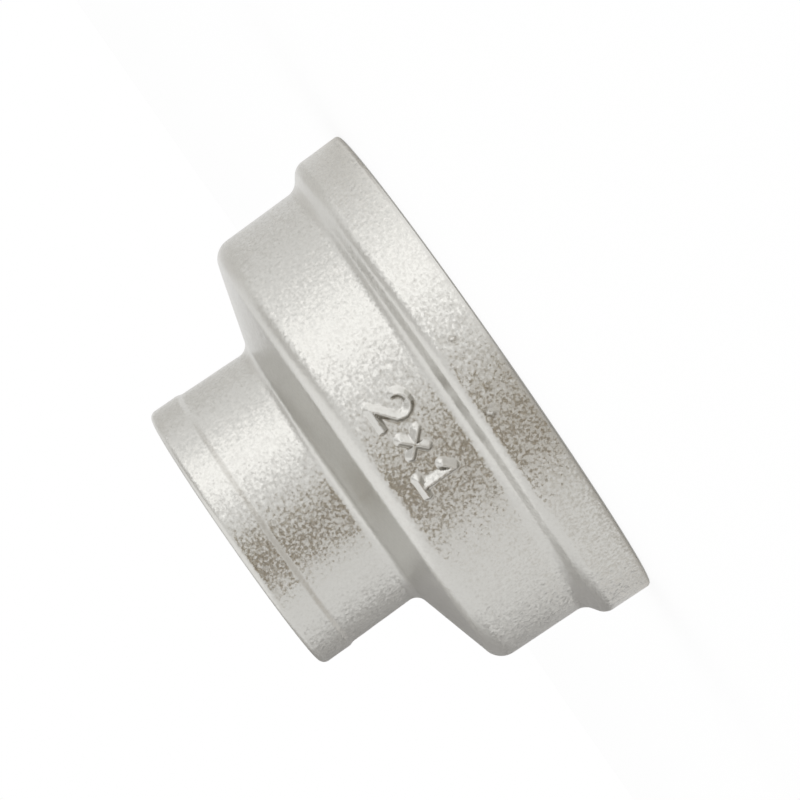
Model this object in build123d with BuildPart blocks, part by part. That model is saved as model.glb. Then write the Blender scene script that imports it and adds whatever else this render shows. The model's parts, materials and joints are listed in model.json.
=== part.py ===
"""Reducing coupling for threaded pipe: a wide socket and a narrow socket on one axis, cast in one piece.

The axis is +Z. The origin is the centre of the wide end's face, and the narrow end points up.
Lengths are in millimetres and angles in degrees.
"""

import os
from math import atan, cos, radians, tan

from build123d import *

# Pipe threads: major diameters for nominal 2 inch and 1 inch pipe, 11 threads to the inch
wide_thread_diameter = 59.614
narrow_thread_diameter = 33.249
thread_height = 1.479

# Lengths along the axis, from the wide face to the narrow face
band_length = 6.95
band_ramp_length = 1.8
wide_barrel_length = 13.15
shoulder_fall = 3.8
narrow_barrel_length = 10.3
collar_ramp_length = 0.65
collar_length = 4.45

# Casting: metal outside each thread's root, next to the shoulder, and how far the rims stand proud
wide_wall = 2.9
narrow_wall = 2.8
shoulder_wall = 3.5
band_rise = 2.55
collar_rise = 0.21
draft_angle = 1.2

# Roundings of the outside, from the wide face to the narrow face
wide_rim_rounding = 0.55
band_rounding = 2.0
band_root_fillet = 2.0
shoulder_rounding = 2.8
shoulder_root_fillet = 1.6
collar_blend = 1.0
narrow_rim_rounding = 1.0

# Waterway: roundings between the two bores, and how far a mouth's chamfer opens past the thread's root
bore_bottom_fillet = 1.6
step_rounding = 1.2
mouth_lead = 0.35

# Radii
wide_bore_radius = wide_thread_diameter / 2 - thread_height
narrow_bore_radius = narrow_thread_diameter / 2 - thread_height
wide_barrel_radius = wide_thread_diameter / 2 + wide_wall
narrow_barrel_radius = narrow_thread_diameter / 2 + narrow_wall

# Heights of the outside's corners
ramp_height = band_length + band_ramp_length
shoulder_height = ramp_height + wide_barrel_length
neck_height = shoulder_height + shoulder_fall
collar_foot_height = neck_height + narrow_barrel_length
collar_height = collar_foot_height + collar_ramp_length
overall_length = collar_height + collar_length

# The shoulder's slope, and the waterway's step, which runs parallel to it under an even wall
shoulder_slope = shoulder_fall / (wide_barrel_radius - narrow_barrel_radius)
shoulder_wall_along_axis = shoulder_wall / cos(atan(shoulder_slope))


def drafted(radius, distance):
    """Radius of a wall that opens by the casting draft over this distance."""
    return radius + distance * tan(radians(draft_angle))


def step_height(radius):
    """Height of the waterway's sloping step at this radius."""
    outside = shoulder_height + (wide_barrel_radius - radius) * shoulder_slope
    return outside - shoulder_wall_along_axis


# Outside radii: each barrel is narrowest at the shoulder and opens towards its own end
wide_barrel_end_radius = drafted(wide_barrel_radius, wide_barrel_length)
band_radius = wide_barrel_end_radius + band_rise
band_face_radius = drafted(band_radius, band_length)
narrow_barrel_end_radius = drafted(narrow_barrel_radius, narrow_barrel_length)
collar_radius = narrow_barrel_end_radius + collar_rise

with BuildPart() as coupling:
    # The casting's outside
    with BuildSketch(Plane.XZ):
        with BuildLine():
            outside = FilletPolyline(
                (0, 0),
                (band_face_radius, 0),
                (band_radius, band_length),
                (wide_barrel_end_radius, ramp_height),
                (wide_barrel_radius, shoulder_height),
                (narrow_barrel_radius, neck_height),
                (narrow_barrel_end_radius, collar_foot_height),
                (collar_radius, collar_height),
                (collar_radius, overall_length),
                (0, overall_length),
                radius=[
                    wide_rim_rounding,
                    band_rounding,
                    band_root_fillet,
                    shoulder_rounding,
                    shoulder_root_fillet,
                    collar_blend,
                    collar_blend,
                    narrow_rim_rounding,
                ],
            )
            Line(outside @ 1, outside @ 0)
        make_face()
    revolve(axis=Axis.Z)

    # The waterway: both bores, open at each face, and the sloping step between them
    with BuildSketch(Plane.XZ):
        with BuildLine():
            waterway = FilletPolyline(
                (0, 0),
                (wide_bore_radius, 0),
                (wide_bore_radius, step_height(wide_bore_radius)),
                (narrow_bore_radius, step_height(narrow_bore_radius)),
                (narrow_bore_radius, overall_length),
                (0, overall_length),
                radius=[0, bore_bottom_fillet, step_rounding, 0],
            )
            Line(waterway @ 1, waterway @ 0)
        make_face()
    revolve(axis=Axis.Z, mode=Mode.SUBTRACT)

    # Each mouth is chamfered a little wider than its thread, so that the pipe starts straight
    wide_mouth = coupling.faces().sort_by(Axis.Z)[0].inner_wires().edges()
    narrow_mouth = coupling.faces().sort_by(Axis.Z)[-1].inner_wires().edges()
    chamfer(wide_mouth + narrow_mouth, thread_height + mouth_lead)

coupling.part.label = "reducing_coupling"

os.makedirs("parts", exist_ok=True)
export_step(coupling.part, "parts/reducing_coupling.step")
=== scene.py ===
# %% [markdown]
# # Reducing coupling
# A reducing coupling joins a wide pipe to a narrow one. It is cast in one piece, its skin is shot blasted,
# and then both ends are turned flat and cut with a thread. The CAD frame holds the solid with smooth
# bores. A second skin could be laid over that solid, but two skins a hair apart show through each other.
# This lesson builds the same casting again as one closed mesh, because the cut threads, the raised mark
# and the uneven skin all have to grow out of one surface.

# %% Load the CAD frame
import json
import math

import bmesh
import bpy
from mathutils import Matrix, Vector, noise


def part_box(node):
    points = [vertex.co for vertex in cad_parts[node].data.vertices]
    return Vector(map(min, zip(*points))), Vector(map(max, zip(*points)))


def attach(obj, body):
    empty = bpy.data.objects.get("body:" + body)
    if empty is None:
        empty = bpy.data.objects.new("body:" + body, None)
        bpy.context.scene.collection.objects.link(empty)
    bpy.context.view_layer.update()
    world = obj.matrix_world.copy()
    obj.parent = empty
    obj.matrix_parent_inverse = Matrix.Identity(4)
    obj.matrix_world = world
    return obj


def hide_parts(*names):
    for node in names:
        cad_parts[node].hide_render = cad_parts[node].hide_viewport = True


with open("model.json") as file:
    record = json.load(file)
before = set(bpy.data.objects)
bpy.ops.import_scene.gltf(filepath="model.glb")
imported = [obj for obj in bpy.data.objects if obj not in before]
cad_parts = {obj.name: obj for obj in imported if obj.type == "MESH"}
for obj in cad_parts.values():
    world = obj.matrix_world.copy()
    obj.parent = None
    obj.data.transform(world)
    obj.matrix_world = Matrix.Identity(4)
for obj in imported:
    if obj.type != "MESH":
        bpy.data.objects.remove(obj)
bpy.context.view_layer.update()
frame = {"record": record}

# %% [markdown]
# ## Sizes
# The mesh is drawn in millimetres and scaled to metres at the end, so that the numbers stay easy to read.
# The bore radii and the overall length come from the frame. Each mouth is chamfered at 45 degrees to a
# little wider than its thread, so that a pipe starts straight.

# %% Sizes in millimetres
MM = 0.001
tolerance = 0.001
bore_radius = {mount["name"]: mount["dims"].get("r_mm") for mount in frame["record"]["mounts"]}
wide_bore_radius = bore_radius["wide_socket"]
narrow_bore_radius = bore_radius["narrow_socket"]
overall_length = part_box("reducing_coupling")[1][2] / MM

thread_height = 1.479
mouth_lead = 0.35
mouth_chamfer = thread_height + mouth_lead
wide_mouth_radius = wide_bore_radius + mouth_chamfer
narrow_mouth_radius = narrow_bore_radius + mouth_chamfer
print("bores:", wide_bore_radius, narrow_bore_radius, "length:", round(overall_length, 3))

# %% [markdown]
# ## A wire with rounded corners
# Every round part of the casting is a body of revolution, so it starts as a wire in the XZ plane. The wire
# is drawn with sharp corners, and a vertex bevel then rounds each corner. That is easier to change later
# than arcs worked out by hand. Where an arc starts follows from its radius and from the angle that the
# wire turns through.


# %% Draw a wire
def round_corner(wire, corner, radius, segments):
    """Rounds one corner of a wire with an arc of this radius."""
    arm_a, arm_b = [edge.other_vert(corner).co - corner.co for edge in corner.link_edges]
    turn = math.pi - arm_a.angle(arm_b)
    bmesh.ops.bevel(
        wire, geom=[corner], offset=radius * math.tan(turn / 2), offset_type="ABSOLUTE",
        affect="VERTICES", segments=segments, profile=0.5, material=-1,
    )


def draw_wire(corners, longest, segments=9):
    """A wire through (radius, height, rounding) corners, with its straights cut to this length at most."""
    wire = bmesh.new()
    verts = [wire.verts.new((radius, 0, height)) for radius, height, rounding in corners]
    for start, end in zip(verts, verts[1:]):
        wire.edges.new((start, end))
    for vert, (radius, height, rounding) in zip(verts, corners):
        if rounding:
            round_corner(wire, vert, rounding, segments)
    for edge in wire.edges[:]:
        cuts = math.ceil(edge.calc_length() / longest) - 1
        if cuts > 0:
            bmesh.ops.bisect_edges(wire, edges=[edge], cuts=cuts)
    return wire


sample = draw_wire([(0, 0, 0), (10, 0, 2), (10, 10, 0)], longest=4)
print("a sample wire with one rounded corner has", len(sample.verts), "vertices")
sample.free()


# %% [markdown]
# ## The skin of the casting
# Moulded walls have a draft, so each barrel opens by 1.2 degrees towards its own end, and every corner
# between them is rounded. One full spin makes the outside, from the wide mouth round to the narrow mouth,
# and another makes the sloping step inside, between the two sockets. The outside starts and ends a little
# way down each mouth's chamfer, so that the spin also makes the crisp edge of the mouth. The straights are
# cut short, because the uneven skin needs vertices to move.

# %% Spin the outside and the step inside
face_radius = 35.678
band_radius, band_height = 35.532, 6.95
barrel_foot_radius, barrel_foot_height = 32.982, 8.75
shoulder_radius, shoulder_height = 32.707, 21.9
neck_radius, neck_height = 19.425, 25.7
collar_foot_radius, collar_foot_height = 19.640, 36.0
collar_radius, collar_height = 19.850, 36.65
lip = 0.1
outside_corners = [
    (wide_mouth_radius - lip, lip, 0),
    (wide_mouth_radius, 0, 0),
    (face_radius, 0, 0.55),
    (band_radius, band_height, 2.0),
    (barrel_foot_radius, barrel_foot_height, 2.0),
    (shoulder_radius, shoulder_height, 2.8),
    (neck_radius, neck_height, 1.6),
    (collar_foot_radius, collar_foot_height, 1.0),
    (collar_radius, collar_height, 1.0),
    (collar_radius, overall_length, 1.0),
    (narrow_mouth_radius, overall_length, 0),
    (narrow_mouth_radius - lip, overall_length - lip, 0),
]

wide_thread_end = 17.2
narrow_thread_end = 24.8
past_thread = 0.3
step_foot_height, step_top_height = 19.51, 23.28
step_corners = [
    (wide_bore_radius, wide_thread_end + past_thread, 0),
    (wide_bore_radius, step_foot_height, 1.6),
    (narrow_bore_radius, step_top_height, 1.2),
    (narrow_bore_radius, narrow_thread_end - past_thread, 0),
]


def spin_round(wire, steps):
    """Turns a wire into a closed ring round the Z axis."""
    bmesh.ops.spin(
        wire, geom=wire.verts[:] + wire.edges[:], axis=(0, 0, 1), angle=math.tau,
        steps=steps, use_merge=True,
    )
    return wire


outside = spin_round(draw_wire(outside_corners, longest=0.9), steps=300)
step = spin_round(draw_wire(step_corners, longest=1.2), steps=180)
print("outside:", len(outside.faces), "faces, step:", len(step.faces), "faces")

# %% [markdown]
# ## The turns of a thread
# A pipe thread has 11 turns to the inch, flanks at 55 degrees, and rounded crests and roots. A screw
# modifier could turn the section, but the cuts and pushes that follow are easier on a bmesh. One section
# is spun through one turn that rises by a pitch, and the turn is copied up the bore. Every turn's end
# meets the next turn's start, so merging the doubles gives one sheet.

# %% Spin a thread
pitch = 25.4 / 11
sharp_height = 0.96049 * pitch
sharp_crest = sharp_height / 6
crest_rounding = 0.37


def spin_thread(crest_radius, low, high, steps):
    """A threaded sheet that reaches past both of these heights."""
    flank_radius = crest_radius + thread_height / 2
    sheet = draw_wire(
        [
            (flank_radius, 0, 0),
            (crest_radius - sharp_crest, pitch / 4, crest_rounding),
            (crest_radius + thread_height + sharp_crest, pitch * 3 / 4, crest_rounding),
            (flank_radius, pitch, 0),
        ],
        longest=1.0, segments=3,
    )
    bmesh.ops.spin(
        sheet, geom=sheet.verts[:] + sheet.edges[:], axis=(0, 0, 1), angle=math.tau,
        steps=steps, dvec=(0, 0, pitch / steps),
    )
    one_turn = sheet.verts[:] + sheet.edges[:] + sheet.faces[:]
    bmesh.ops.translate(sheet, vec=(0, 0, low - 2 * pitch), verts=sheet.verts[:])
    for turn in range(1, math.ceil((high - low) / pitch) + 3):
        copy = bmesh.ops.duplicate(sheet, geom=one_turn)
        copied = [item for item in copy["geom"] if isinstance(item, bmesh.types.BMVert)]
        bmesh.ops.translate(sheet, vec=(0, 0, turn * pitch), verts=copied)
    bmesh.ops.remove_doubles(sheet, verts=sheet.verts[:], dist=tolerance)
    return sheet


print("pitch:", round(pitch, 3), "mm")

# %% [markdown]
# ## The two sockets
# A real thread doesn't stop in a wall. At the mouth the chamfer cuts it away, and at its end the cutter
# runs out to the plain bore. So the sheet is pushed about: out to the chamfer's cone at the mouth, and
# back to the bore over the last turns. Both ends are then cut across, so that the sheet has two round
# rims.


# %% Fit the threads to their sockets
def cut_across(sheet, height, keep=0):
    """Cuts a sheet at this height. With keep 1 the part above stays, and with -1 the part below."""
    bmesh.ops.bisect_plane(
        sheet, geom=sheet.verts[:] + sheet.edges[:] + sheet.faces[:], dist=1e-5,
        plane_co=(0, 0, height), plane_no=(0, 0, 1), clear_inner=keep > 0, clear_outer=keep < 0,
    )


def set_radius(vert, radius):
    """Moves a vertex straight out from the Z axis or in towards it."""
    flat = Vector((vert.co.x, vert.co.y, 0)).normalized() * radius
    vert.co.x, vert.co.y = flat.x, flat.y


thread_start = 0.3
run_out = 2.6
chamfer_cuts = 6


def thread_socket(crest_radius, mouth, end, steps):
    """The threaded wall of a socket from its mouth's height to the height where its thread ends."""
    inwards = 1 if end > mouth else -1
    sheet = spin_thread(crest_radius, min(mouth, end), max(mouth, end), steps)
    for cut in range(1, chamfer_cuts + 1):
        cut_across(sheet, mouth + inwards * mouth_chamfer * cut / chamfer_cuts)
    for vert in sheet.verts:
        depth = inwards * (vert.co.z - mouth)
        left = min(max((abs(end - mouth) - depth) / run_out, 0), 1)
        radius = crest_radius + (vert.co.xy.length - crest_radius) * left
        set_radius(vert, max(radius, crest_radius + mouth_chamfer - depth))
    cut_across(sheet, mouth + inwards * thread_start, keep=inwards)
    cut_across(sheet, end, keep=-inwards)
    for vert in sheet.verts:
        if abs(vert.co.z - mouth) < thread_start + tolerance:
            set_radius(vert, crest_radius + mouth_chamfer - thread_start)
    return sheet


wide_thread = thread_socket(wide_bore_radius, mouth=0, end=wide_thread_end, steps=240)
narrow_thread = thread_socket(narrow_bore_radius, mouth=overall_length, end=narrow_thread_end, steps=160)
print("threads:", len(wide_thread.faces), "and", len(narrow_thread.faces), "faces")

# %% [markdown]
# ## One closed surface
# The four sheets go into one mesh, and each open rim is bridged to the one that faces it. What a tool has
# cut gets its own material number: the threads, the chamfers and the flat ends.

# %% Join the sheets
CAST, TURNED = 0, 1


def add_sheet(target, sheet, material):
    """Copies a sheet into the target mesh, and frees it."""
    for face in sheet.faces:
        face.material_index = material
    carrier = bpy.data.meshes.new("carrier")
    sheet.to_mesh(carrier)
    target.from_mesh(carrier)
    bpy.data.meshes.remove(carrier)
    sheet.free()


def open_rims(mesh, heights):
    """The open edges that lie at any of these heights."""
    return [
        edge for edge in mesh.edges if edge.is_boundary
        and any(all(abs(vert.co.z - height) < tolerance for vert in edge.verts) for height in heights)
    ]


def is_turned(place):
    """True for a place of the outside that lies on a flat end or on the start of a chamfer."""
    depth = min(place.z, overall_length - place.z)
    mouth_radius = wide_mouth_radius if place.z < overall_length / 2 else narrow_mouth_radius
    return depth < tolerance or (depth < lip and place.xy.length < mouth_radius)


casting = bmesh.new()
add_sheet(casting, outside, CAST)
add_sheet(casting, step, CAST)
add_sheet(casting, wide_thread, TURNED)
add_sheet(casting, narrow_thread, TURNED)
facing_rims = [
    (lip, thread_start),
    (wide_thread_end, wide_thread_end + past_thread),
    (narrow_thread_end, narrow_thread_end - past_thread),
    (overall_length - lip, overall_length - thread_start),
]
for heights in facing_rims:
    ring = bmesh.ops.bridge_loops(casting, edges=open_rims(casting, heights))
    for face in ring["faces"]:
        face.material_index = TURNED
for face in casting.faces:
    if is_turned(face.calc_center_median()):
        face.material_index = TURNED
bmesh.ops.recalc_face_normals(casting, faces=casting.faces[:])
print("open edges left:", sum(not edge.is_manifold for edge in casting.edges))
print("volume in cubic mm:", round(casting.calc_volume(signed=True), 1))

# %% [markdown]
# ## The strokes of the raised mark
# Founders cast the nominal sizes of both threads into the wide barrel. A text object would give letters
# with flat tops and sharp sides, which a mould can't make. Here each numeral is a few strokes in a small
# cell instead, and the next step raises a soft ridge along them.

# %% Strokes of the mark
cell_width, cell_height = 3.0, 4.7
cell_pitch = 5.0


def arc_stroke(centre, radius, start, end, points=10):
    """Points along an arc, with its start and end in degrees."""
    angles = [math.radians(start + (end - start) * i / (points - 1)) for i in range(points)]
    return [Vector((centre[0] + radius * math.cos(a), centre[1] + radius * math.sin(a))) for a in angles]


bowl = cell_width / 2
two = [
    arc_stroke((bowl, cell_height - bowl), bowl, 165, -35) + [Vector((0, 0))],
    [Vector((0, 0)), Vector((cell_width, 0))],
]
times = [
    [Vector((0.3, 1.0)), Vector((cell_width - 0.3, 3.4))],
    [Vector((0.3, 3.4)), Vector((cell_width - 0.3, 1.0))],
]
one = [
    [Vector((0.5, cell_height - 1.1)), Vector((1.6, cell_height)), Vector((1.6, 0))],
    [Vector((0.4, 0)), Vector((2.8, 0))],
]
mark = [(two, 0), (times, cell_pitch), (one, 2 * cell_pitch)]
mark_length = 2 * cell_pitch + cell_width
print("mark is", round(mark_length, 1), "mm long and", cell_height, "mm high")

# %% [markdown]
# ## Raising the mark
# The mark is wrapped round the barrel with its top to the wide end. Each vertex near a stroke rises by how
# near it lies, which gives the soft flanks of a casting. A stroke leans: the flank towards +X is gentle
# and catches the light, and the other one is steep. The foot of a steep flank gets painted shade: the
# vertices there also carry a value of painted shade, which the material turns into a darker colour where
# shade falls in that crease.

# %% How the mark rises
mark_radius = 32.85
mark_start = math.radians(-6.5)
mark_foot = 17.3
stroke_half_width = 0.10
gentle_flank, steep_flank = 0.95, 0.30
mark_rise = 0.60
mark_margin = 1.4
barrel_slack = 0.4
stroke_reach = 1.5
steep_from = 0.6
foot_shade_from, foot_shade_top, foot_shade_fade = -0.4, 0.3, 0.7


def on_mark(point):
    """Where a point of the barrel lies in the mark: along it, and up from its foot."""
    turn = math.atan2(-point.x, -point.y)
    return Vector(((turn - mark_start) * mark_radius, mark_foot - point.z))


def in_mark(point):
    """True on the outside of the barrel in the mark or close to it."""
    place = on_mark(point)
    return (
        point.xy.length > mark_radius - barrel_slack and point.y < 0
        and -mark_margin < place.x < mark_length + mark_margin
        and -mark_margin < place.y < cell_height + mark_margin
    )


def offset_from(strokes, point):
    """The shortest way from any of these strokes to a point."""
    offsets = []
    for stroke in strokes:
        for start, end in zip(stroke, stroke[1:]):
            share = (point - start).dot(end - start) / (end - start).length_squared
            offsets.append(point - start.lerp(end, min(max(share, 0), 1)))
    return min(offsets, key=lambda offset: offset.length)


def relief_at(place):
    """How far the mark stands proud at this place, and how much painted shade it gets beside a steep flank.
    """
    rise, foot_shade = 0, 0
    for strokes, left in mark:
        local = Vector((place.x - left, place.y))
        if -stroke_reach < local.x < cell_width + stroke_reach:
            offset = offset_from(strokes, local)
            steepness = 0.5 + 0.5 * offset.x / max(offset.length, 1e-6)
            flank = gentle_flank + (steep_flank - gentle_flank) * steepness
            share = (stroke_half_width + flank - offset.length) / flank
            rise = max(rise, mark_rise * min(max(share, 0), 1))
            # Painted shade in the crease at the foot of a steep flank.
            if foot_shade_from < share < 1 and steepness > steep_from:
                foot_shade = 1 - abs(share - foot_shade_top) / foot_shade_fade
    return rise, foot_shade


print("height of the mark:", mark_rise, "mm")

# %% Raise the mark
# Each vertex carries a share of painted shade, which darkens the colour where shade falls.
painted_shade = casting.verts.layers.float.new("painted_shade")
patch = [edge for edge in casting.edges if all(in_mark(vert.co) for vert in edge.verts)]
bmesh.ops.subdivide_edges(casting, edges=patch, cuts=6, use_grid_fill=True)
for vert in casting.verts:
    if in_mark(vert.co):
        rise, vert[painted_shade] = relief_at(on_mark(vert.co))
        if rise:
            set_radius(vert, vert.co.xy.length + rise)
print("patch:", len(patch), "edges before, casting now", len(casting.faces), "faces")

# %% [markdown]
# ## The foot of the collar
# The step up to the collar is only a fifth of a millimetre high, so it would hardly show. A line of
# painted shade darkens that corner on the side of the mark. The same painted shade value as beside the
# mark's strokes draws it, strongest in the middle of the corner.

# %% Painted shade along the collar's foot
shade_line_height, shade_line_reach, shade_line_depth = 36.33, 0.45, 0.26
shade_line_middle, shade_line_half, shade_line_fade = 25, 85, 30
shaded_verts = 0
for vert in casting.verts:
    off_foot = abs(vert.co.z - shade_line_height) / shade_line_reach
    if off_foot < 1 and vert.co.xy.length > narrow_mouth_radius:
        turn = math.degrees(math.atan2(-vert.co.x, -vert.co.y))
        facing = min(max((shade_line_half - abs(turn - shade_line_middle)) / shade_line_fade, 0), 1)
        # Painted shade in the corner, only on the side of the mark.
        vert[painted_shade] = shade_line_depth * facing * (1 - off_foot ** 2)
        shaded_verts += 1
print("vertices along the collar's foot:", shaded_verts)

# %% [markdown]
# ## Two pimples
# Where a grain of sand breaks out of the mould, the casting gets a pimple. The band has two small ones
# near its upper edge, on the side of the mark. The band is cut finely round each, and the vertices rise as
# a low dome. Each has its turn round the axis in degrees, its height, its radius and its rise, and a faint
# ring of painted shade round its foot.

# %% Raise the pimples
pimple_seat, pimple_patch = 35.59, 1.0
ring_from, ring_to, ring_shade = 0.7, 1.6, 0.6
pimples = [(-8.25, 4.1, 0.40, 0.10), (7.5, 5.3, 0.50, 0.24)]
for turn, height, pimple_radius, pimple_rise in pimples:
    angle = math.radians(turn)
    top = Vector((-pimple_seat * math.sin(angle), -pimple_seat * math.cos(angle), height))
    near = [
        edge for edge in casting.edges
        if all((vert.co - top).length < pimple_patch for vert in edge.verts)
    ]
    bmesh.ops.subdivide_edges(casting, edges=near, cuts=5, use_grid_fill=True)
    for vert in casting.verts:
        away = (vert.co - top).length / pimple_radius
        if away < 1:
            set_radius(vert, vert.co.xy.length + pimple_rise * (1 - away ** 2))
        # A faint ring of painted shade round the pimple's foot.
        if ring_from < away < ring_to:
            vert[painted_shade] = ring_shade
    print("pimple at", turn, "degrees:", len(near), "edges cut")

# %% [markdown]
# ## Where the grain is calm
# On the real casting the grain is strong on the upright walls and faint on the slopes, and a little calmer
# towards the narrow end. A mask could be painted by hand, but a value worked out from the normals follows
# every change of the shape. Each vertex carries it, and the material reads it.

# %% Calm the slopes
calm_from, calm_over, narrow_end_calm = 0.15, 0.35, 0.35
casting.normal_update()
calm = casting.verts.layers.float.new("calm")
for vert in casting.verts:
    slope = min(max((abs(vert.normal.z) - calm_from) / calm_over, 0), 1)
    vert[calm] = max(slope, narrow_end_calm * vert.co.z / overall_length)
print("vertices fully calm:", sum(vert[calm] == 1 for vert in casting.verts))

# %% [markdown]
# ## The uneven skin
# Molten steel shrinks and the blast peens it, so a cast wall is never quite true. Two scales of noise sink
# the cast vertices by a few hundredths of a millimetre. They only sink, so the casting stays inside its
# CAD box. The vertices on a turned face stay where the tool left them, and the sinking fades in over the
# first millimetres from each end, so that no ledge forms at the turned faces.

# %% Sink the skin
swell_size, swell_depth = 5.0, 0.05
dimple_size, dimple_depth = 1.7, 0.03
fade_in = 4.0


def skin_depth(place):
    """How far the skin has sunk at this place."""
    swell = 0.5 + 0.5 * noise.noise(place / swell_size)
    dimple = 0.5 + 0.5 * noise.noise(place / dimple_size)
    share = min(place.z / fade_in, (overall_length - place.z) / fade_in, 1)
    return share * (swell_depth * swell + dimple_depth * dimple)


moves = [
    (vert, vert.co - vert.normal * skin_depth(vert.co)) for vert in casting.verts
    if all(face.material_index == CAST for face in vert.link_faces)
]
for vert, place in moves:
    vert.co = place
print("sunk", len(moves), "vertices")

# %% [markdown]
# ## The finished piece
# The mesh is scaled to metres, shaded smooth with its real edges kept sharp, and put in the frame. It
# stands for the CAD node, which stays in the physics model.

# %% Make the piece
sharp_from = math.radians(38)
bmesh.ops.scale(casting, vec=(MM, MM, MM), verts=casting.verts[:])
mesh = bpy.data.meshes.new("coupling")
casting.to_mesh(mesh)
casting.free()
mesh.shade_smooth()
mesh.set_sharp_from_angle(angle=sharp_from)
coupling = bpy.data.objects.new("coupling", mesh)
bpy.context.scene.collection.objects.link(coupling)
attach(coupling, "root")
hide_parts("reducing_coupling")
mesh.calc_loop_triangles()
print("triangles:", len(mesh.loop_triangles))

# %% [markdown]
# ## Nodes for a material
# A material can be wired by hand in the shader editor. In a script, one small function for each kind of
# node keeps a recipe short. Every pattern reads Object coordinates, which are the piece's own metres, so a
# blotch is given its real size in millimetres.


# %% Start the cast steel
def new_material(name):
    """A material with its shader and the Object coordinates."""
    material = bpy.data.materials.new(name)
    material.use_nodes = True
    tree = material.node_tree
    places = tree.nodes.new("ShaderNodeTexCoord")
    return material, tree, tree.nodes["Principled BSDF"], places.outputs["Object"]


def add_noise(tree, places, size_mm, detail, roughness=0.5):
    """A noise texture whose blotches are about this big."""
    texture = tree.nodes.new("ShaderNodeTexNoise")
    texture.inputs["Scale"].default_value = 1 / (size_mm * MM)
    texture.inputs["Detail"].default_value = detail
    texture.inputs["Roughness"].default_value = roughness
    tree.links.new(places, texture.inputs["Vector"])
    return texture.outputs


def add_bump(tree, height, depth_mm):
    """A bump of this depth."""
    bump = tree.nodes.new("ShaderNodeBump")
    bump.inputs["Distance"].default_value = depth_mm * MM
    tree.links.new(height, bump.inputs["Height"])
    return bump.outputs["Normal"]


def add_attribute(tree, name):
    """A value that the mesh carries at its vertices."""
    attribute = tree.nodes.new("ShaderNodeAttribute")
    attribute.attribute_name = name
    return attribute.outputs["Fac"]


cast_steel, tree, shader, places = new_material("cast_steel")
grain = add_noise(tree, places, size_mm=0.42, detail=2.0, roughness=0.6)
dents = add_noise(tree, places, size_mm=1.1, detail=1.0)
dented = add_bump(tree, dents["Fac"], depth_mm=0.03)
print("cast steel starts with", len(tree.nodes), "nodes")

# %% [markdown]
# ## The colour of cast steel
# A metal's colour is the share of the light that it throws back. This steel is a warm light grey that
# wavers a little with the grain. Painted shade multiplies it where the vertices carry it: at the foot of the
# mark's strokes and of the pimples, and along the collar.


# %% Colour and painted shade
def add_ramp(tree, value, stops):
    """A ramp through (position, colour) stops."""
    ramp = tree.nodes.new("ShaderNodeValToRGB")
    for element, (position, colour) in zip(ramp.color_ramp.elements, (stops[0], stops[-1])):
        element.position, element.color = position, (*colour, 1)
    for position, colour in stops[1:-1]:
        ramp.color_ramp.elements.new(position).color = (*colour, 1)
    tree.links.new(value, ramp.inputs["Fac"])
    return ramp.outputs["Color"]


def add_vector_math(tree, operation, *values):
    """A sum on vectors, each of them a socket or three numbers."""
    node = tree.nodes.new("ShaderNodeVectorMath")
    node.operation = operation
    for socket, value in zip(node.inputs, values):
        if isinstance(value, tuple):
            socket.default_value = value
        else:
            tree.links.new(value, socket)
    return node


steel_tints = [
    (0.30, (0.570, 0.560, 0.530)),
    (0.50, (0.595, 0.587, 0.558)),
    (0.75, (0.605, 0.599, 0.570)),
]
# Painted shade: the steel darkens by the painted_shade value that the vertices carry.
shade_tints = [(0.0, (1, 1, 1)), (1.0, (0.48, 0.45, 0.41))]
steel = add_ramp(tree, grain["Fac"], steel_tints)
shade_tint = add_ramp(tree, add_attribute(tree, "painted_shade"), shade_tints)
shaded_steel = add_vector_math(tree, "MULTIPLY", steel, shade_tint)
tree.links.new(shaded_steel.outputs[0], shader.inputs["Base Color"])
print("steel tints:", len(steel_tints), "stain tints:", len(shade_tints))

# %% [markdown]
# ## The blasted grain
# Shot leaves the steel grainy, as many tiny facets that each lean another way. A bump drawn from one noise
# would show as wrinkles. Instead the three colour channels of the noise tilt the normal directly, so
# neighbouring facets are independent. The grain then shows as a fine speckle where the surroundings change
# from dark to light. Under it lies the faint bump of broader dents. Where a vertex is calm, the facets
# lean less.


# %% Tilt the facets
def add_tilt(tree, normal, colour, amount):
    """Leans a normal by a noise's colour, by about this much in each direction."""
    centred = add_vector_math(tree, "SUBTRACT", colour, (0.5, 0.5, 0.5))
    lean = add_vector_math(tree, "SCALE", centred.outputs[0])
    tree.links.new(amount, lean.inputs["Scale"])
    leaning = add_vector_math(tree, "ADD", normal, lean.outputs[0])
    return add_vector_math(tree, "NORMALIZE", leaning.outputs[0]).outputs[0]


lean_on_walls, lean_where_calm = 0.95, 0.20
lean = tree.nodes.new("ShaderNodeMapRange")
lean.inputs["To Min"].default_value = lean_on_walls
lean.inputs["To Max"].default_value = lean_where_calm
tree.links.new(add_attribute(tree, "calm"), lean.inputs["Value"])
grainy = add_tilt(tree, dented, grain["Color"], lean.outputs["Result"])
tree.links.new(grainy, shader.inputs["Normal"])
shader.inputs["Metallic"].default_value = 1.0
shader.inputs["Roughness"].default_value = 0.28
mesh.materials.append(cast_steel)
print("cast steel has", len(tree.nodes), "nodes")

# %% [markdown]
# ## The turned ends' material
# A lathe leaves fine rings round the axis on the flat ends and along the threads. A ring wave on the
# Object coordinates follows them, because the axis is the piece's own Z.

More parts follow.
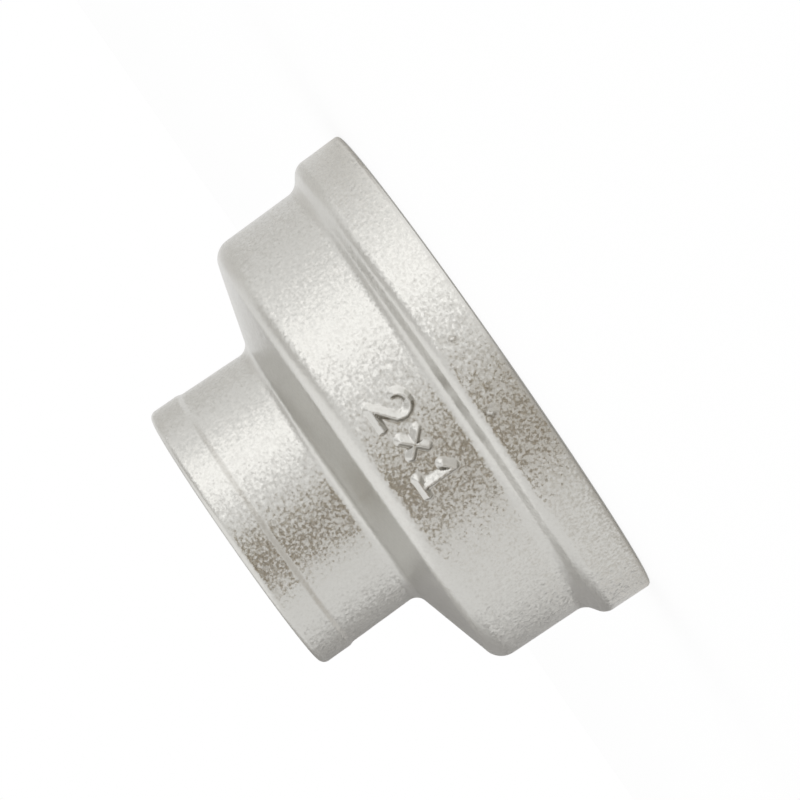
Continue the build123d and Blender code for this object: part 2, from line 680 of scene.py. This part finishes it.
# %% Turned steel
ring_size = 2.2
turned_steel, tree, shader, places = new_material("turned_steel")
rings = tree.nodes.new("ShaderNodeTexWave")
rings.wave_type = "RINGS"
rings.rings_direction = "Z"
rings.inputs["Scale"].default_value = 1 / (ring_size * MM)
rings.inputs["Distortion"].default_value = 0.6
rings.inputs["Detail"].default_value = 2.0
tree.links.new(places, rings.inputs["Vector"])
shader.inputs["Base Color"].default_value = (0.62, 0.61, 0.59, 1)
shader.inputs["Metallic"].default_value = 1.0
shader.inputs["Roughness"].default_value = 0.28
ringed = add_bump(tree, rings.outputs["Fac"], depth_mm=0.012)
tree.links.new(ringed, shader.inputs["Normal"])
mesh.materials.append(turned_steel)
print("materials:", [material.name for material in mesh.materials])

# %% [markdown]
# ## The world
# The photograph's ground is plain white. The world is white at a strength of 1, which lights a surface to
# about its written colour and shows as white in the metal.

# %% White world
scene = bpy.context.scene
world = bpy.data.worlds.new("white_tent")
scene.world = world
world.use_nodes = True
tent = world.node_tree.nodes["Background"]
tent.inputs["Color"].default_value = (1, 1, 1, 1)
tent.inputs["Strength"].default_value = 1.0
print("world:", world.name, "at a strength of", tent.inputs["Strength"].default_value)

# %% [markdown]
# ## Sheets for the studio
# The floor and all cards are flat sheets of matt paper. Each carries a value named cover, which is 1 in
# its middle and falls to 0 at its edge, so that a paper may fade out softly there.


# %% Place a sheet
def matt_paper(name, colour):
    """A plain matt material for the studio."""
    material = bpy.data.materials.new(name)
    material.use_nodes = True
    shader = material.node_tree.nodes["Principled BSDF"]
    shader.inputs["Base Color"].default_value = (*colour, 1)
    shader.inputs["Roughness"].default_value = 1.0
    shader.inputs["Specular IOR Level"].default_value = 0.0
    return material


def place_sheet(name, size, matrix, material, cells=1, wedge=False):
    """A flat sheet of this width and height for the studio, which is no part of the coupling."""
    sheet = bmesh.new()
    bmesh.ops.create_grid(sheet, x_segments=cells, y_segments=cells, size=0.5)
    cover = sheet.verts.layers.float.new("cover")
    for vert in sheet.verts:
        vert[cover] = (1 - (2 * vert.co.x) ** 2) * (1 - (2 * vert.co.y) ** 2)
        if wedge:
            vert.co.x *= 0.5 + vert.co.y
    bmesh.ops.scale(sheet, vec=(*size, 1), verts=sheet.verts[:])
    bmesh.ops.transform(sheet, matrix=matrix, verts=sheet.verts[:])
    sheet_mesh = bpy.data.meshes.new(name)
    sheet.to_mesh(sheet_mesh)
    sheet.free()
    sheet_mesh.materials.append(material)
    placed = bpy.data.objects.new(name, sheet_mesh)
    scene.collection.objects.link(placed)
    return placed


floor_size = (12.0, 12.0)
floor_paper = matt_paper("floor_paper", (0.92, 0.92, 0.92))
place_sheet("floor", floor_size, Matrix.Identity(4), floor_paper)
print("floor:", floor_size, "metres")

# %% [markdown]
# ## The floor's glow
# White paper alone would render a little darker than the white world, with a line where they meet. So the
# floor glows: mostly for rays from the camera, less for rays that metal or glass sends on, and not at all
# for others, so that it puts no more light on the coupling. What is left of its own shading still carries
# the shadow.


# %% Let the floor glow
def add_math(tree, operation, a, b):
    """A sum on a value and a second value or a number."""
    node = tree.nodes.new("ShaderNodeMath")
    node.operation = operation
    tree.links.new(a, node.inputs[0])
    if isinstance(b, float):
        node.inputs[1].default_value = b
    else:
        tree.links.new(b, node.inputs[1])
    return node.outputs[0]


def add_glow_share(tree, seen, mirrored):
    """One share for rays from the camera, another for rays that metal or glass sends on, else 0."""
    path = tree.nodes.new("ShaderNodeLightPath")
    sent_on = add_math(tree, "MAXIMUM", path.outputs["Is Glossy Ray"], path.outputs["Is Transmission Ray"])
    seen_share = add_math(tree, "MULTIPLY", path.outputs["Is Camera Ray"], seen)
    return add_math(tree, "MAXIMUM", seen_share, add_math(tree, "MULTIPLY", sent_on, mirrored))


tree = floor_paper.node_tree
glow = tree.nodes.new("ShaderNodeEmission")
glow.inputs["Strength"].default_value = 1.0
mix = tree.nodes.new("ShaderNodeMixShader")
tree.links.new(add_glow_share(tree, seen=0.85, mirrored=0.4), mix.inputs["Fac"])
tree.links.new(tree.nodes["Principled BSDF"].outputs[0], mix.inputs[1])
tree.links.new(glow.outputs[0], mix.inputs[2])
tree.links.new(mix.outputs[0], tree.nodes["Material Output"].inputs["Surface"])
print("floor paper has", len(tree.nodes), "nodes")

# %% [markdown]
# ## Softboxes
# Metal shows its surroundings, so its look is made by what stands round it. A low softbox to one side of
# the camera gives the bright zone, a wide one beyond it carries that zone on round the wall, and one
# overhead gives the slopes a soft fill. A softbox's radiance is what it adds to the picture of a mirror.


# %% Softboxes
coupling_middle = Vector((0, 0, 0.02))


def studio_place(azimuth, elevation, distance):
    """A place that looks at the coupling. Azimuth 0 is the camera's side, and 90 is the -X side."""
    turn, rise = math.radians(azimuth), math.radians(elevation)
    away = Vector((-math.sin(turn) * math.cos(rise), -math.cos(turn) * math.cos(rise), math.sin(rise)))
    facing = away.to_track_quat("Z", "Y").to_matrix().to_4x4()
    return Matrix.Translation(coupling_middle + away * distance) @ facing


def add_softbox(name, azimuth, elevation, distance, size, radiance):
    """A soft light of this width and height in metres, which adds this much to what a mirror shows."""
    lamp = bpy.data.lights.new(name, "AREA")
    lamp.shape = "RECTANGLE"
    lamp.size, lamp.size_y = size
    lamp.energy = radiance * math.pi * size[0] * size[1]
    softbox = bpy.data.objects.new(name, lamp)
    softbox.matrix_world = studio_place(azimuth, elevation, distance)
    softbox.visible_camera = False
    scene.collection.objects.link(softbox)
    print(name, "softbox:", round(lamp.energy, 2), "W")


add_softbox("key", azimuth=-50, elevation=7, distance=0.9, size=(0.56, 0.22), radiance=0.52)
add_softbox("side", azimuth=-60, elevation=14, distance=1.1, size=(1.25, 0.54), radiance=0.25)
add_softbox("top", azimuth=0, elevation=85, distance=1.0, size=(1.20, 1.20), radiance=0.18)

# %% [markdown]
# ## Soft cards
# A white world alone would leave the metal pale all round. Cards that only the metal sees give it its
# darker zones: two brown ones beside the camera, one inside the other, for the dark zone where the grain
# sparkles, and greys behind the coupling for its dim lower edge. They fade out at their edges, as the
# zones on the coupling do.


# %% Soft cards
def soft_paper(name, colour, edge, glow=0.0):
    """Matt paper that fades out towards its edge, and may glow."""
    paper = matt_paper(name, colour)
    tree = paper.node_tree
    shader = tree.nodes["Principled BSDF"]
    shader.inputs["Emission Color"].default_value = (1, 1, 1, 1)
    shader.inputs["Emission Strength"].default_value = glow
    fade = add_math(tree, "MULTIPLY", add_attribute(tree, "cover"), 1 / edge)
    fade.node.use_clamp = True
    tree.links.new(fade, shader.inputs["Alpha"])
    return paper


def hide_from_all_but_metal(sheet):
    """Only reflections see the sheet. The camera and the matt floor don't, and it casts no shadow."""
    sheet.visible_camera = sheet.visible_diffuse = sheet.visible_shadow = False


def add_card(name, azimuth, elevation, distance, size, colour, edge=1.0):
    """A soft-edged card of this width and height in metres that only the metal sees."""
    place = studio_place(azimuth, elevation, distance)
    hide_from_all_but_metal(place_sheet(name, size, place, soft_paper(name, colour, edge), cells=16))
    print(name, "is", distance, "m away")


add_card(
    "brown_card", azimuth=25, elevation=10, distance=0.60, size=(0.62, 0.46),
    colour=(0.40, 0.35, 0.26), edge=0.6,
)
add_card(
    "dark_card", azimuth=28, elevation=8, distance=0.55, size=(0.32, 0.24),
    colour=(0.225, 0.163, 0.097), edge=0.9,
)
add_card(
    "pale_card", azimuth=-135, elevation=12, distance=0.8, size=(0.80, 0.60),
    colour=(0.78, 0.77, 0.75), edge=0.5,
)
add_card(
    "mid_card", azimuth=-70, elevation=48, distance=1.2, size=(2.00, 0.60),
    colour=(0.72, 0.71, 0.69), edge=0.6,
)
add_card(
    "near_card", azimuth=131, elevation=14, distance=0.12, size=(0.150, 0.090),
    colour=(0.46, 0.45, 0.44),
)
add_card(
    "grey_card", azimuth=156, elevation=13, distance=0.7, size=(0.70, 0.42),
    colour=(0.30, 0.29, 0.28), edge=0.5,
)
add_card(
    "back_card", azimuth=165, elevation=36, distance=0.8, size=(0.90, 0.50),
    colour=(0.58, 0.57, 0.55), edge=0.5,
)

# %% [markdown]
# ## Soft sheets on the floor
# The lower half of what a wall shows is the floor, so the zones have to go on there. Two black sheets that
# glow white brighten what the metal sees of it, one far and wide and one small and close by. Two mats tone
# the floor down, behind the coupling and under it; the one under it is a painted contact shadow that only
# the metal sees. They lie at different heights above the floor, so that no two fight for one place.


# %% Sheets on the floor
def lay_sheet(name, turn, middle, lift, size, paper, wedge=False):
    """A soft-edged sheet that only the metal sees, laid over the floor and then turned round the origin."""
    place = Matrix.Rotation(math.radians(turn), 4, "Z") @ Matrix.Translation((*middle, lift))
    hide_from_all_but_metal(place_sheet(name, size, place, paper, cells=16, wedge=wedge))
    print(name, "lies", round(lift / MM, 2), "mm above the floor")


black = (0, 0, 0)
lay_sheet(
    "bounce_board", turn=-138, middle=(0, 0.445), lift=0.0006, size=(0.96, 0.92),
    paper=soft_paper("bounce_board", black, edge=0.35, glow=1.42), wedge=True,
)
lay_sheet(
    "back_mat", turn=35, middle=(0, 0.44), lift=0.0004, size=(0.80, 0.62),
    paper=soft_paper("back_mat", (0.50, 0.49, 0.48), edge=0.6),
)
# A painted contact shadow under the coupling, which only the metal sees.
lay_sheet(
    "contact_shade_mat", turn=0, middle=(-0.015, -0.015), lift=0.00015, size=(0.24, 0.24),
    paper=soft_paper("contact_shade_mat", (0.80, 0.78, 0.75), edge=0.4),
)
lay_sheet(
    "rim_board", turn=-153, middle=(0, 0.040), lift=0.0002, size=(0.036, 0.036),
    paper=soft_paper("rim_board", black, edge=0.9, glow=1.25),
)

# %% [markdown]
# ## The camera
# The photograph looks at the coupling square from the side, almost level with it, and its picture is
# turned so that the narrow end points to the lower left. A long lens from half a metre off keeps both
# ends' rims almost straight, as they are there.

# %% Camera
camera_data = bpy.data.cameras.new("camera")
camera = bpy.data.objects.new("camera", camera_data)
scene.collection.objects.link(camera)
scene.camera = camera
camera_distance = 0.480
camera_rise = math.radians(0.75)
camera_roll = math.radians(-124.9)
look_at = Vector((0.00271, 0, 0.01304))
camera.location = look_at + camera_distance * Vector((0, -math.cos(camera_rise), math.sin(camera_rise)))
level = (look_at - camera.location).to_track_quat("-Z", "Y").to_matrix().to_4x4()
camera.matrix_world = Matrix.Translation(camera.location) @ level @ Matrix.Rotation(camera_roll, 4, "Z")
camera_data.sensor_width = 36.0
camera_data.lens = 165.3
camera_data.clip_start = 0.01
scene.view_settings.view_transform = "Standard"
print("camera:", camera_distance, "m away, with a lens of", round(camera_data.lens, 1), "mm")
